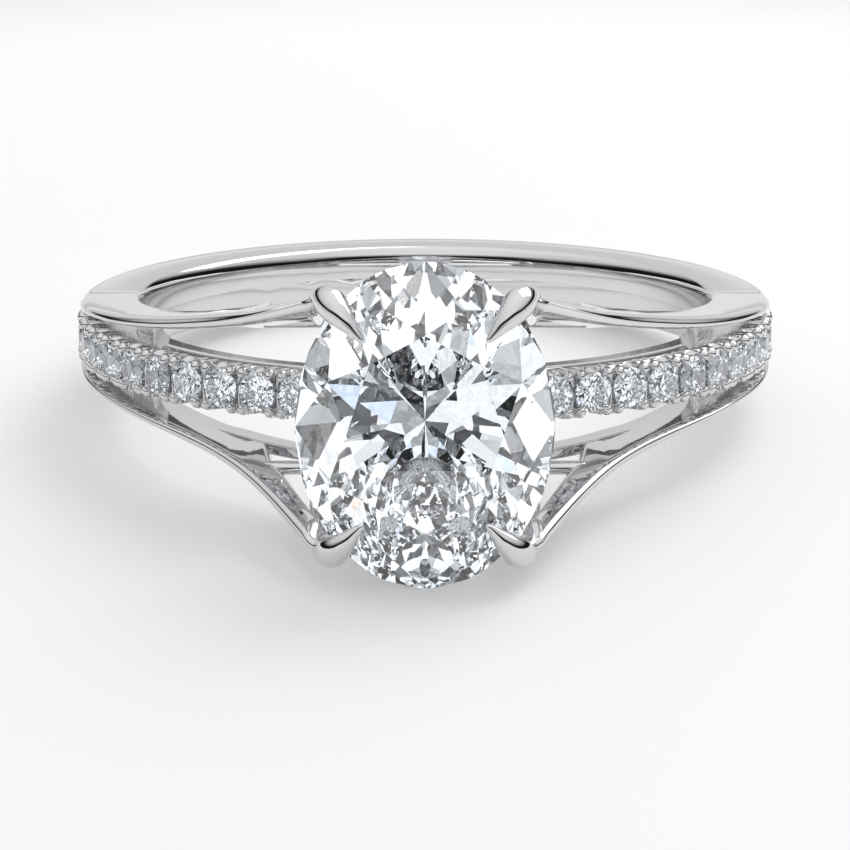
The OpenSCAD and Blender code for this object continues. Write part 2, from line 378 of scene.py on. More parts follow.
class Nodes:
    """A node tree with short ways to add and join nodes."""

    def __init__(self, owner: bpy.types.Material | bpy.types.World) -> None:
        """Empties a tree.

        Args:
            owner: The material or world that the tree belongs to.
        """
        owner.use_nodes = True
        self.owner = owner
        self.tree = owner.node_tree
        self.tree.nodes.clear()

    @classmethod
    def finish(cls, name: str) -> "Nodes":
        """Starts a new material."""
        return cls(bpy.data.materials.new(name))

    def feed(self, target: bpy.types.NodeSocket, value: object) -> None:
        """Gives an input its value.

        Args:
            target: The input.
            value: Another node's output, or a number or colour that is the same everywhere.
        """
        if isinstance(value, bpy.types.NodeSocket):
            self.tree.links.new(value, target)
        else:
            target.default_value = value

    def add(self, kind: str, *feeds: object, **values: object) -> bpy.types.Node:
        """Adds a node.

        Args:
            kind: The node's type.
            *feeds: What its first inputs are given, in order.
            **values: Attributes of the node, or of its inputs where the name is an input's.

        Returns:
            The node.
        """
        node = self.tree.nodes.new(kind)
        for key, value in values.items():
            if hasattr(node, key):
                setattr(node, key, value)
            else:
                self.feed(node.inputs[key.replace("_", " ")], value)
        for target, value in zip(node.inputs, feeds):
            self.feed(target, value)
        return node

    def ramp(self, fac: bpy.types.NodeSocket, stops: Sequence[tuple[float, Sequence[float]]],
             stepped: bool = False) -> bpy.types.NodeSocket:
        """Adds a colour ramp.

        Args:
            fac: What picks the colour.
            stops: The places of the colours, and the colours.
            stepped: Whether a colour holds until the next one.

        Returns:
            The ramp's colour.
        """
        node = self.add("ShaderNodeValToRGB", fac)
        if stepped:
            node.color_ramp.interpolation = "CONSTANT"
        elements = node.color_ramp.elements
        while len(elements) < len(stops):
            elements.new(0.5)
        for element, (place, colour) in zip(elements, stops):
            element.position = place
            element.color = (*colour, 1.0)
        return node.outputs["Color"]

    def mottled(self, cloud: bpy.types.NodeSocket, colour: Sequence[float], part: float,
                spread: tuple[float, float] = (0.3, 0.7)) -> bpy.types.NodeSocket:
        """A colour that falls to a part of itself where a cloud is thin."""
        return self.ramp(cloud, [(spread[0], tuple(c * part for c in colour)), (spread[1], colour)])

    def on_object(self) -> bpy.types.NodeSocket:
        """The place on the piece itself."""
        return self.add("ShaderNodeTexCoord").outputs["Object"]

    def cloud(self, place: bpy.types.NodeSocket, scale: float, detail: float,
              roughness: float = 0.5) -> bpy.types.NodeSocket:
        """A soft noise."""
        return self.add("ShaderNodeTexNoise", Vector=place, Scale=scale, Detail=detail,
                        Roughness=roughness).outputs["Fac"]

    def ends_in(self, kind: str, shader: bpy.types.NodeSocket) -> bpy.types.Material | bpy.types.World:
        """Adds the output, and gives back the material or world."""
        self.add(kind, Surface=shader)
        return self.owner


@dataclass(frozen=True)
class PolishedWhiteMetal:
    """White gold, buffed to a mirror, with the faint swirls that a buff leaves."""

    name: str = "polished_white_metal"
    colour: tuple[float, float, float] = (0.71, 0.71, 0.715)
    roughness_low: float = 0.035
    roughness_high: float = 0.075
    swirl_scale: float = 900.0
    swirl_detail: float = 4.0
    swirl_roughness: float = 0.6
    swirl_depth: float = 0.02
    swirl_reach: float = 0.00002
    thin_part: float = 0.985

    def material(self) -> bpy.types.Material:
        """Builds the finish."""
        nodes = Nodes.finish(self.name)
        cloud = nodes.cloud(nodes.on_object(), self.swirl_scale, self.swirl_detail, self.swirl_roughness)
        gloss = nodes.add("ShaderNodeMapRange", Value=cloud, To_Min=self.roughness_low,
                          To_Max=self.roughness_high)
        bump = nodes.add("ShaderNodeBump", Strength=self.swirl_depth, Distance=self.swirl_reach, Height=cloud)
        metal = nodes.add("ShaderNodeBsdfPrincipled", Metallic=1.0, Normal=bump.outputs["Normal"],
                          Base_Color=nodes.mottled(cloud, self.colour, self.thin_part),
                          Roughness=gloss.outputs["Result"])
        return nodes.ends_in("ShaderNodeOutputMaterial", metal.outputs["BSDF"])


@dataclass(frozen=True)
class CutStone:
    """A colourless, strongly refracting stone with polished facets."""

    name: str = "cut_stone"
    colour: tuple[float, float, float] = (0.985, 0.99, 1.0)
    refraction: float = 2.417
    speck_scale: float = 1400.0
    speck_detail: float = 2.0
    speck_spread: tuple[float, float] = (0.35, 0.65)
    thin_part: float = 0.99

    def material(self) -> bpy.types.Material:
        """Builds the finish."""
        nodes = Nodes.finish(self.name)
        cloud = nodes.cloud(nodes.on_object(), self.speck_scale, self.speck_detail)
        tone = nodes.mottled(cloud, self.colour, self.thin_part, self.speck_spread)
        stone = nodes.add("ShaderNodeBsdfPrincipled", Base_Color=tone, Roughness=0.0, IOR=self.refraction,
                          Transmission_Weight=1.0)
        return nodes.ends_in("ShaderNodeOutputMaterial", stone.outputs["BSDF"])


@dataclass(frozen=True)
class PaleFloor:
    """A matt, nearly white studio floor with a painted glow of its own and a painted pool of light: its
    colour and glow fall off away from the ring.
    """

    name: str = "pale_floor"
    colour: tuple[float, float, float] = (0.6, 0.6, 0.6)
    # painted glow: the floor gives off light of its own, not a lamp, strongest round the ring
    painted_glow: float = 0.26
    painted_glow_colour: tuple[float, float, float, float] = (1, 1, 1, 1)
    # painted pool of light: the distances over which the floor's colour and glow fall to far_part away from
    # the ring
    painted_light_pool: tuple[float, float] = (0.045, 0.066)
    far_part: float = 0.74
    grain_scale: float = 40.0
    grain_detail: float = 3.0
    thin_part: float = 0.995
    roughness: float = 0.6
    sheen: float = 0.2

    def material(self) -> bpy.types.Material:
        """Builds the finish."""
        nodes = Nodes.finish(self.name)
        place = nodes.on_object()
        cloud = nodes.cloud(place, self.grain_scale, self.grain_detail)
        tone = nodes.mottled(cloud, self.colour, self.thin_part)
        away = nodes.add("ShaderNodeVectorMath", place, operation="LENGTH").outputs["Value"]
        # painted pool of light round the ring, which dims the floor's colour and glow further out
        painted_light_pool = nodes.add("ShaderNodeMapRange", interpolation_type="SMOOTHSTEP", Value=away,
                         From_Min=self.painted_light_pool[0], From_Max=self.painted_light_pool[1],
                         To_Min=1.0, To_Max=self.far_part).outputs["Result"]
        dimmed = nodes.add("ShaderNodeVectorMath", tone, operation="SCALE", Scale=painted_light_pool)
        # painted glow, scaled by the painted pool of light round the ring
        painted_glow = nodes.add("ShaderNodeMath", painted_light_pool, self.painted_glow, operation="MULTIPLY")
        floor = nodes.add("ShaderNodeBsdfPrincipled", Roughness=self.roughness, Specular_IOR_Level=self.sheen,
                          Emission_Color=self.painted_glow_colour, Base_Color=dimmed.outputs["Vector"],
                          Emission_Strength=painted_glow.outputs["Value"])
        return nodes.ends_in("ShaderNodeOutputMaterial", floor.outputs["BSDF"])


@dataclass
class Gauge:
    """The sizes that the sub-assemblies share, in millimetres and degrees from the head."""

    finger_r: float = 8.65
    shank_r: float = 10.43
    shank_half: float = 1.0
    shank_round: float = 0.24
    comfort_round: float = 0.25
    comfort_rise: float = 0.62
    row_half: float = 0.69
    row_foot_half: float = 0.59
    row_r: float = 10.27
    row_end: float = 96.0
    stones: int = 11
    pitch: float = 6.95
    first_stone: float = 20.3
    arm_near: float = 0.77
    arm_drift: float = 0.9
    arm_sweep: float = 1.47
    arm_rise: float = 3.5
    arm_depth: float = 0.95
    arm_side_t: float = 0.28
    arm_head_t: float = 0.38
    thick_start: float = 62.0
    thick_span: float = 22.0
    dip_start: float = 75.0
    dip: float = 0.15
    rise_start: float = 47.0
    rise_power: float = 2.8
    sweep_power: float = 5.0
    lean_start: float = 46.0
    lean_span: float = 21.0
    lean_rate: float = 0.28
    lean_most: float = 1.4
    arm_ref: float = 13.3
    arm_end: float = 11.5
    crotch: float = 29.4
    rail_t: float = 0.68
    rail_w: float = 0.35
    rail_near: float = 1.86
    rail_bow: float = 0.00024
    rail_end: float = 42.0
    head_r: float = 13.5

    def arm_outer(self, angle: float) -> float:
        """The outside of an arm.

        Args:
            angle: The angle from the head.

        Returns:
            The radius of its outer face.
        """
        dip = self.dip * clamp((self.dip_start - angle) / (self.dip_start - self.rise_start))
        rise = clamp((self.rise_start - angle) / (self.rise_start - self.arm_ref))
        return self.shank_r - dip + self.arm_rise * rise**self.rise_power

    def arm_edge(self, angle: float) -> float:
        """Height of an arm's outer near edge, which sweeps out from the side to the claw."""
        way = (90 - angle) / (90 - self.arm_ref)
        return self.arm_near + self.arm_drift * way + self.arm_sweep * max(way, 0) ** self.sweep_power

    def arm_share(self, angle: float, at_side: float, at_head: float) -> float:
        """A size that an arm has at the side of the ring, and another at the head."""
        return mix(at_side, at_head, clamp((self.thick_start - angle) / self.thick_span))

    def arm_thickness(self, angle: float) -> float:
        """Thickness of an arm along the finger."""
        return self.arm_share(angle, self.arm_side_t, self.arm_head_t)

    def arm_lean(self, angle: float) -> float:
        """How much an arm's near face leans, as height per depth."""
        return self.lean_rate * clamp((self.lean_start - angle) / self.lean_span, 0, self.lean_most)

    def rail_edge(self, angle: float) -> float:
        """Height of a rail's near edge."""
        return self.rail_near - self.rail_bow * angle * angle


@dataclass
class SubAssembly:
    """What every sub-assembly is made with."""

    gauge: Gauge
    bench: Bench
    finish: bpy.types.Material

    def lay(self, name: str, bm: bmesh.types.BMesh, shading: Shading = Shading.EVEN,
            slot: Slot = Slot.METAL) -> bpy.types.Object:
        """Lays down a finished piece."""
        return self.bench.piece(name, bm, self.finish, slot, shading)


@dataclass
class Strand(SubAssembly):
    """One upper or lower strand: half the shank's width at the back, and an arm at each end."""

    level: Level
    arm_steps: int = 90
    shank_steps: int = 50
    corner_steps: int = 7
    split_from: float = 98.0
    split_to: float = 86.0
    groove_from: float = 95.5
    groove_to: float = 93.0
    arm_last: float = 100.0
    foot_ahead: float = 1.5
    foot_late: float = 3.2
    foot_hidden: float = 2.5
    foot_inside: float = 0.03
    foot_rise: float = 6.5
    far_foot_rise: float = 13.0
    near_past_rail: float = 0.02
    near_fall: float = 0.6
    near_side_round: float = 0.08
    near_head_round: float = 0.15
    near_reach: float = 0.28
    seam_round: float = 0.002
    far_rise: float = 0.19
    far_round: float = 0.7
    inner_round: float = 0.12

    def away(self, angle: float, reach: float) -> float:
        """How far an arm has left the rail, from 0 to 1, where that takes a reach of degrees."""
        return ease((self.gauge.crotch + self.foot_ahead - angle) / reach)

    def foot(self, angle: float, outer: float, rise: float) -> float:
        """The inside of an arm, which stays in the rail before it leaves it for the claw.

        Args:
            angle: The angle from the head.
            outer: The arm's outer radius there.
            rise: How many degrees it takes to leave the rail.

        Returns:
            The arm's inner radius.
        """
        g = self.gauge
        lifted = self.away(angle - self.foot_hidden, self.foot_hidden)
        hidden = g.finger_r + (g.rail_t - self.foot_inside) * lifted
        return mix(hidden, outer - g.arm_depth, self.away(angle, rise))

    def section(self, angle: float) -> list[Vector]:
        """Shapes the strand's section.

        Args:
            angle: The angle from the head.

        Returns:
            The section's points, from its inner near corner round by the outside.
        """
        g = self.gauge
        at_shank = ease((angle - self.split_to) / (self.split_from - self.split_to))
        groove = ease((angle - self.groove_to) / (self.groove_from - self.groove_to))
        arm_angle = min(angle, self.arm_last)
        outer = g.arm_outer(arm_angle)
        inner = self.foot(angle, outer, self.foot_rise)
        inner_far = self.foot(angle + self.foot_late, outer, self.far_foot_rise)
        high = g.arm_edge(arm_angle)
        low = high - g.arm_lean(angle) * (outer - inner)
        if angle < g.lean_start:
            fall = self.near_fall * self.away(angle, 2 * self.foot_rise)
            low = max(low, g.rail_edge(angle) + self.near_past_rail - fall)
        far = mix(high + g.arm_thickness(arm_angle), g.shank_half, at_shank)
        far_low = far - g.arm_lean(angle) / 2 * (outer - inner) * self.away(angle, self.foot_rise)
        high, low = mix(high, 0.0, groove), mix(low, 0.0, groove)
        corners = [spot(angle, inner, low), spot(angle, outer, high), spot(angle, outer, far),
                   spot(angle, inner_far, far_low)]
        near = mix(g.arm_share(angle, self.near_side_round, self.near_head_round), self.seam_round, groove)
        reaches = [
            near,
            (mix(self.near_reach, self.seam_round, groove), near),
            (mix(self.far_rise, g.shank_round, at_shank), mix(self.far_round, g.shank_round, at_shank)),
            (mix(self.inner_round, g.comfort_round, at_shank),
             mix(self.inner_round, g.comfort_rise, at_shank)),
        ]
        return mirrored(rounded(corners, reaches, self.corner_steps), z=self.level.value)

    def build(self) -> None:
        """Sweeps the strand from one claw round the back to the other."""
        angles = steps(self.gauge.arm_end, self.split_from, self.arm_steps)
        angles += steps(self.split_from, 180.0, self.shank_steps)[1:]
        half = [self.section(angle) for angle in angles]
        bm = bmesh.new()
        sweep(bm, half + [mirrored(ring, x=-1) for ring in reversed(half[:-1])])
        self.lay(f"{self.level.word}_strand", bm)


@dataclass
class Web(SubAssembly):
    """Recessed metal between the row and the two strands of one side, hollowed out at its two ends."""

    side: Side
    sections: int = 24
    height: float = 1.3
    back: float = 97.0
    end_x: float = 7.42
    hollow_r: float = 0.34
    hollow_z: float = 0.98
    hollow_l: float = 6.0
    hollow_sides: int = 48
    edge: float = 0.045
    edge_steps: int = 4
    edge_past: float = 0.01

    def section(self, part: float) -> list[Vector]:
        """Shapes the web's section.

        Args:
            part: How far it is from the side of the ring to the opening, from 0 to 1.

        Returns:
            The section's corners.
        """
        g = self.gauge
        low_r, high_r = g.finger_r, g.finger_r + self.height
        low, high = (mix(self.back, math.degrees(math.asin(self.end_x / r)), part) for r in (low_r, high_r))
        z = g.arm_edge(high) + g.arm_thickness(high) / 2
        across = [spot(low, low_r, -z), spot(high, high_r, -z), spot(high, high_r, z), spot(low, low_r, z)]
        return mirrored(across, x=self.side.value)

    def hollow(self, level: Level) -> bpy.types.Mesh:
        """Makes the round cutter for one of the ends.

        Args:
            level: Which end it is for.

        Returns:
            The cutter.
        """
        bm = turned(self.hollow_r, self.hollow_r, self.hollow_l, self.hollow_sides, "X")
        place = (self.side.value * self.end_x, -self.hollow_l, level.value * self.hollow_z)
        bmesh.ops.translate(bm, vec=place, verts=bm.verts)
        return mesh_of(bm, "web_hollow", closed=True)

    def by_hollow(self, p: Vector) -> bool:
        """Whether a point lies on the rim of a round cut."""
        return abs(p.x) > self.end_x + self.edge_past and abs(abs(p.z) - self.hollow_z) < self.hollow_r

    def build(self) -> None:
        """Sweeps the web from the side of the ring to the opening, cuts its ends and softens them."""
        bm = bmesh.new()
        sweep(bm, [self.section(part) for part in steps(0, 1, self.sections)])
        bm = carved(mesh_of(bm, "web_block", closed=True), [self.hollow(level) for level in Level])
        rims = [e for e in bm.edges if is_sharp(e) and all(self.by_hollow(v.co) for v in e.verts)]
        soften(bm, rims, self.edge, self.edge_steps)
        self.lay(f"web_{self.side.word}", bm)


@dataclass
class Rail(SubAssembly):
    """A rail over the finger, under the head, and the gallery bar that it carries."""

    level: Level
    sections: int = 64
    corner: float = 0.06
    finger_corner: float = 0.05
    corner_steps: int = 4
    sink: float = 0.05
    sink_from: float = 36.0
    bar_r: float = 0.2
    bar_sides: int = 32
    bar_reach: float = 4.5
    bar_lift: float = 0.13
    bar_out: float = 0.24
    bar_edge: float = 0.06

    def section(self, angle: float) -> list[Vector]:
        """Shapes the rail's section.

        Args:
            angle: The angle from the head.

        Returns:
            The section's points.
        """
        g = self.gauge
        sunk = ease((abs(angle) - self.sink_from) / (g.rail_end - self.sink_from))
        z = g.rail_edge(angle) + self.sink * sunk
        outer = g.finger_r + g.rail_t
        across = ((g.finger_r, z), (outer, z), (outer, z + g.rail_w), (g.finger_r, z + g.rail_w))
        corners = mirrored([spot(angle, r, height) for r, height in across], z=self.level.value)
        reaches = [self.finger_corner, self.corner, self.corner, self.finger_corner]
        return rounded(corners, reaches, self.corner_steps)

    def bar(self) -> bmesh.types.BMesh:
        """Turns the gallery bar and rounds its ends."""
        g = self.gauge
        bm = turned(self.bar_r, self.bar_r, 2 * self.bar_reach, self.bar_sides, "Y")
        middle = (0, -g.finger_r - g.rail_t - self.bar_lift, (g.rail_near + self.bar_out) * self.level.value)
        bmesh.ops.translate(bm, vec=middle, verts=bm.verts)
        soften(bm, [edge for edge in bm.edges if is_sharp(edge)], self.bar_edge, self.corner_steps)
        return bm

    def build(self) -> None:
        """Sweeps the rail and turns the bar."""
        end = self.gauge.rail_end
        bm = bmesh.new()
        sweep(bm, [self.section(angle) for angle in steps(end, -end, self.sections)])
        self.lay(f"{self.level.word}_rail", bm)
        self.lay(f"{self.level.word}_gallery_bar", self.bar())


@dataclass
class Claw(SubAssembly):
    """A claw: a stem from the gallery, a bulb at the girdle and a fine tip on the crown.

    Its rows hold X, Y from the girdle, Z and radius, from the gallery to the tip.
    """

    side: Side
    level: Level
    rows: tuple[tuple[float, float, float, float], ...] = (
        (2.95, 4.1, 2.12, 0.2), (2.94, 3.3, 2.4, 0.25), (2.9, 2.2, 2.78, 0.3), (2.82, 1.2, 3.12, 0.35),
        (2.71, 0.5, 3.36, 0.41), (2.6, 0.05, 3.45, 0.44), (2.5, -0.26, 3.4, 0.44), (2.36, -0.5, 3.25, 0.39),
        (2.14, -0.68, 3.02, 0.3), (1.92, -0.8, 2.78, 0.19), (1.72, -0.89, 2.56, 0.1))
    row_steps: int = 5
    across: tuple[float, float, float] = (9.0, 0.0, -7.0)
    sides: int = 24
    tip_turns: tuple[float, ...] = (30, 55, 75, 88)

    def build(self) -> None:
        """Sweeps the claw along its path and closes its tip with a small dome."""
        rows = smooth_path(self.rows, self.row_steps)
        places = [Vector((x, y - self.gauge.head_r, z)) for x, y, z, _ in rows]
        across = Vector(self.across).normalized()
        rings = []
        for i, (place, row) in enumerate(zip(places, rows)):
            ahead = places[min(i + 1, len(places) - 1)] - places[max(i - 1, 0)]
            rings.append(circle(place, row[3], across, ahead.cross(across).normalized(), self.sides))
        run = (places[-1] - places[-2]).normalized()
        up, tip_r = run.cross(across).normalized(), self.rows[-1][3]
        for turn in self.tip_turns:
            lift, wide = tip_r * math.sin(math.radians(turn)), tip_r * math.cos(math.radians(turn))
            rings.append(circle(places[-1] + run * lift, wide, across, up, self.sides))
        bm = bmesh.new()
        sweep(bm, [mirrored(ring, self.side.value, self.level.value) for ring in rings])
        self.lay(f"claw_{self.level.word}_{self.side.word}", bm, Shading.SOFT)


@dataclass
class StoneRow(SubAssembly):
    """The middle strand of one side: seats, U-shaped cuts and beads for the side stones.

    A pitch of the row is made straight, with X along it, Y outwards and Z across, and then put on the ring.
    Its bead's rows hold Z, the lift above the row's top, and the radius, from foot to tip.
    """

    side: Side
    block_steps: int = 12
    cut_r: float = 0.27
    cut_l: float = 2.07
    cut_sides: int = 40
    seat_r: float = 0.6
    seat_foot_r: float = 0.12
    seat_depth: float = 0.5
    seat_drop: float = 0.02
    seat_room: float = 0.8
    end_slack: float = 0.001
    join: float = 0.005
    edge: float = 0.025
    edge_steps: int = 2
    bead_side: float = 0.19
    bead_rows: tuple[tuple[float, float, float], ...] = (
        (0.62, -0.42, 0.07), (0.6, -0.3, 0.11), (0.575, -0.14, 0.14), (0.555, 0.0, 0.155), (0.53, 0.08, 0.15),
        (0.49, 0.14, 0.12), (0.44, 0.16, 0.08), (0.4, 0.155, 0.03))
    bead_steps: int = 2
    bead_sides: int = 14
    plate_t: float = 0.008
    plate_deep: float = 0.1
    plate_gap: float = 0.03
    plate_steps: int = 60

    @property
    def length(self) -> float:
        """Length of one pitch at the row's top."""
        return math.radians(self.gauge.pitch) * self.gauge.row_r

    def block(self) -> bpy.types.Mesh:
        """One pitch of the row before it is cut."""
        g, half = self.gauge, self.length / 2
        corners = [(g.finger_r, -g.row_foot_half), (g.row_r, -g.row_half), (g.row_r, g.row_half),
                   (g.finger_r, g.row_foot_half)]
        bm = bmesh.new()
        sweep(bm, [[Vector((x, y, z)) for y, z in corners] for x in steps(-half, half, self.block_steps)])
        return mesh_of(bm, "row_block", closed=True)

    def seat(self) -> bpy.types.Mesh:
        """The cone that a stone sits in, with room above it."""
        bm = turned(self.seat_foot_r, self.seat_r, self.seat_depth, self.cut_sides)
        lid = max(bm.faces, key=lambda f: f.calc_center_median().z)
        raised = bmesh.ops.extrude_face_region(bm, geom=[lid])["geom"]
        bmesh.ops.delete(bm, geom=[lid], context="FACES")
        verts = [item for item in raised if isinstance(item, bmesh.types.BMVert)]
        bmesh.ops.translate(bm, vec=(0, 0, self.seat_room), verts=verts)
        bmesh.ops.rotate(bm, cent=(0, 0, 0), matrix=Matrix.Rotation(-QUARTER, 3, "X"), verts=bm.verts)
        middle = (0, self.gauge.row_r - self.seat_drop - self.seat_depth / 2, 0)
        bmesh.ops.translate(bm, vec=middle, verts=bm.verts)
        return mesh_of(bm, "row_seat", closed=True)

    def scallop(self) -> bpy.types.Mesh:
        """The U-shaped cut across the row below a stone."""
        bm = turned(self.cut_r, self.cut_r, self.cut_l, self.cut_sides)
        bmesh.ops.translate(bm, vec=(0, self.gauge.row_r, 0), verts=bm.verts)
        return mesh_of(bm, "row_scallop", closed=True)

    def cell(self) -> bpy.types.Mesh:
        """One pitch of the row, cut, with its edges rounded and its two ends open."""
        bm = carved(self.block(), [self.seat(), self.scallop()])
        end = self.length / 2 - self.end_slack
        lids = [f for f in bm.faces if all(abs(v.co.x) > end for v in f.verts)]
        bmesh.ops.delete(bm, geom=lids, context="FACES")
        sharp = [e for e in bm.edges if is_sharp(e) and not all(abs(v.co.x) > end for v in e.verts)]
        soften(bm, sharp, self.edge, self.edge_steps)
        return mesh_of(bm, "row_cell")

    def along(self, angle: float, p: Vector) -> Vector:
        """Puts a point of a straight pitch on the ring, about an angle from the head."""
        place = spot(angle + math.degrees(p.x / self.gauge.row_r), p.y, p.z)
        return Vector((self.side.value * place.x, place.y, place.z))

    def body(self) -> bmesh.types.BMesh:
        """Joins the cut pitches on the ring."""
        g, cell = self.gauge, self.cell()
        bm = bmesh.new()
        for n in range(g.stones):
            before = set(bm.verts)
            bm.from_mesh(cell)
            for vert in bm.verts:
                if vert not in before:
                    vert.co = self.along(g.first_stone + n * g.pitch, vert.co)
        bpy.data.meshes.remove(cell)
        bmesh.ops.remove_doubles(bm, verts=bm.verts, dist=self.join)
        return bm

    def bead(self, x: float, level: Level) -> list[list[Vector]]:
        """Shapes a drop-shaped bead, straight.

        Args:
            x: Its place along the row.
            level: The side of the row that it is on.

        Returns:
            Its rings, from its foot in the row's side to its tip on the stone.
        """
        rows = smooth_path(self.bead_rows, self.bead_steps)
        rings = []
        for i, (z, lift, r) in enumerate(rows):
            z_ahead, lift_ahead, _ = rows[min(i + 1, len(rows) - 1)]
            z_back, lift_back, _ = rows[max(i - 1, 0)]
            run = Vector((0, lift_ahead - lift_back, z_ahead - z_back)).normalized()
            place, out = Vector((x, self.gauge.row_r + lift, z)), Vector((0, -run.z, run.y))
            rings.append(mirrored(circle(place, r, Vector((1, 0, 0)), out, self.bead_sides), z=level.value))
        return rings

    def beads(self) -> bmesh.types.BMesh:
        """All beads: two a side where two stones meet, and at the row's ends."""
        g = self.gauge
        bm = bmesh.new()
        for n in range(g.stones + 1):
            angle = g.first_stone + (n - 0.5) * g.pitch
            for x in (-self.bead_side, self.bead_side):
                for level in Level:
                    sweep(bm, [[self.along(angle, p) for p in ring] for ring in self.bead(x, level)])
        return bm

    def plate(self, angle: float, level: Level) -> list[Vector]:
        """Shapes the plain side below the cuts.

        Args:
            angle: The angle from the head.
            level: The side of the row that it is on.

        Returns:
            The corners of its section.
        """
        g = self.gauge
        slope = (g.row_half - g.row_foot_half) / (g.row_r - g.finger_r)
        low, high = g.finger_r + self.plate_gap, g.row_r - self.cut_r - self.plate_gap
        deep, out = -self.plate_deep, self.plate_t
        across = [Vector((0, r, g.row_foot_half + slope * (r - g.finger_r) + off))
                  for r, off in ((low, deep), (high, deep), (high, out), (low, out))]
        return [self.along(angle, p) for p in mirrored(across, z=level.value)]

    def plates(self) -> bmesh.types.BMesh:
        """The plain sides of the row."""
        g = self.gauge
        bm = bmesh.new()
        for level in Level:
            angles = steps(g.first_stone - g.pitch / 2, g.row_end, self.plate_steps)
            sweep(bm, [self.plate(angle, level) for angle in angles])
        return bm

    def build(self) -> None:
        """Makes the strand's body, its beads and its plain sides."""
        self.lay(f"stone_row_{self.side.word}", self.body())
        self.lay(f"beads_{self.side.word}", self.beads(), Shading.SOFT)
        self.lay(f"row_sides_{self.side.word}", self.plates())


@dataclass
class HeadBridge(SubAssembly):
    """The plain part of the middle strand, under the centre stone."""

    sections: int = 40
    overlap: float = 0.2
    drop: float = 0.2
    corner: float = 0.12
    finger_corner: float = 0.05
    corner_steps: int = 4

    def build(self) -> None:
        """Sweeps the bridge from one row of stones to the other."""
        g = self.gauge
        reach = g.first_stone - g.pitch / 2 + self.overlap
        across = ((g.finger_r, -g.row_foot_half), (g.row_r - self.drop, -g.row_half),
                  (g.row_r - self.drop, g.row_half), (g.finger_r, g.row_foot_half))
        reaches = [self.finger_corner, self.corner, self.corner, self.finger_corner]
        bm = bmesh.new()
        sweep(bm, [rounded([spot(angle, r, z) for r, z in across], reaches, self.corner_steps)
                   for angle in steps(reach, -reach, self.sections)])
        self.lay("head_bridge", bm)


@dataclass(frozen=True)
class Breaks:
    """A set of facets that break the pavilion at a part of its depth, steeper than the mains by a lean."""

    middles: tuple[float, ...]
    turns: tuple[float, ...]
    depth: float
    lean: float
    off: float = 0.012


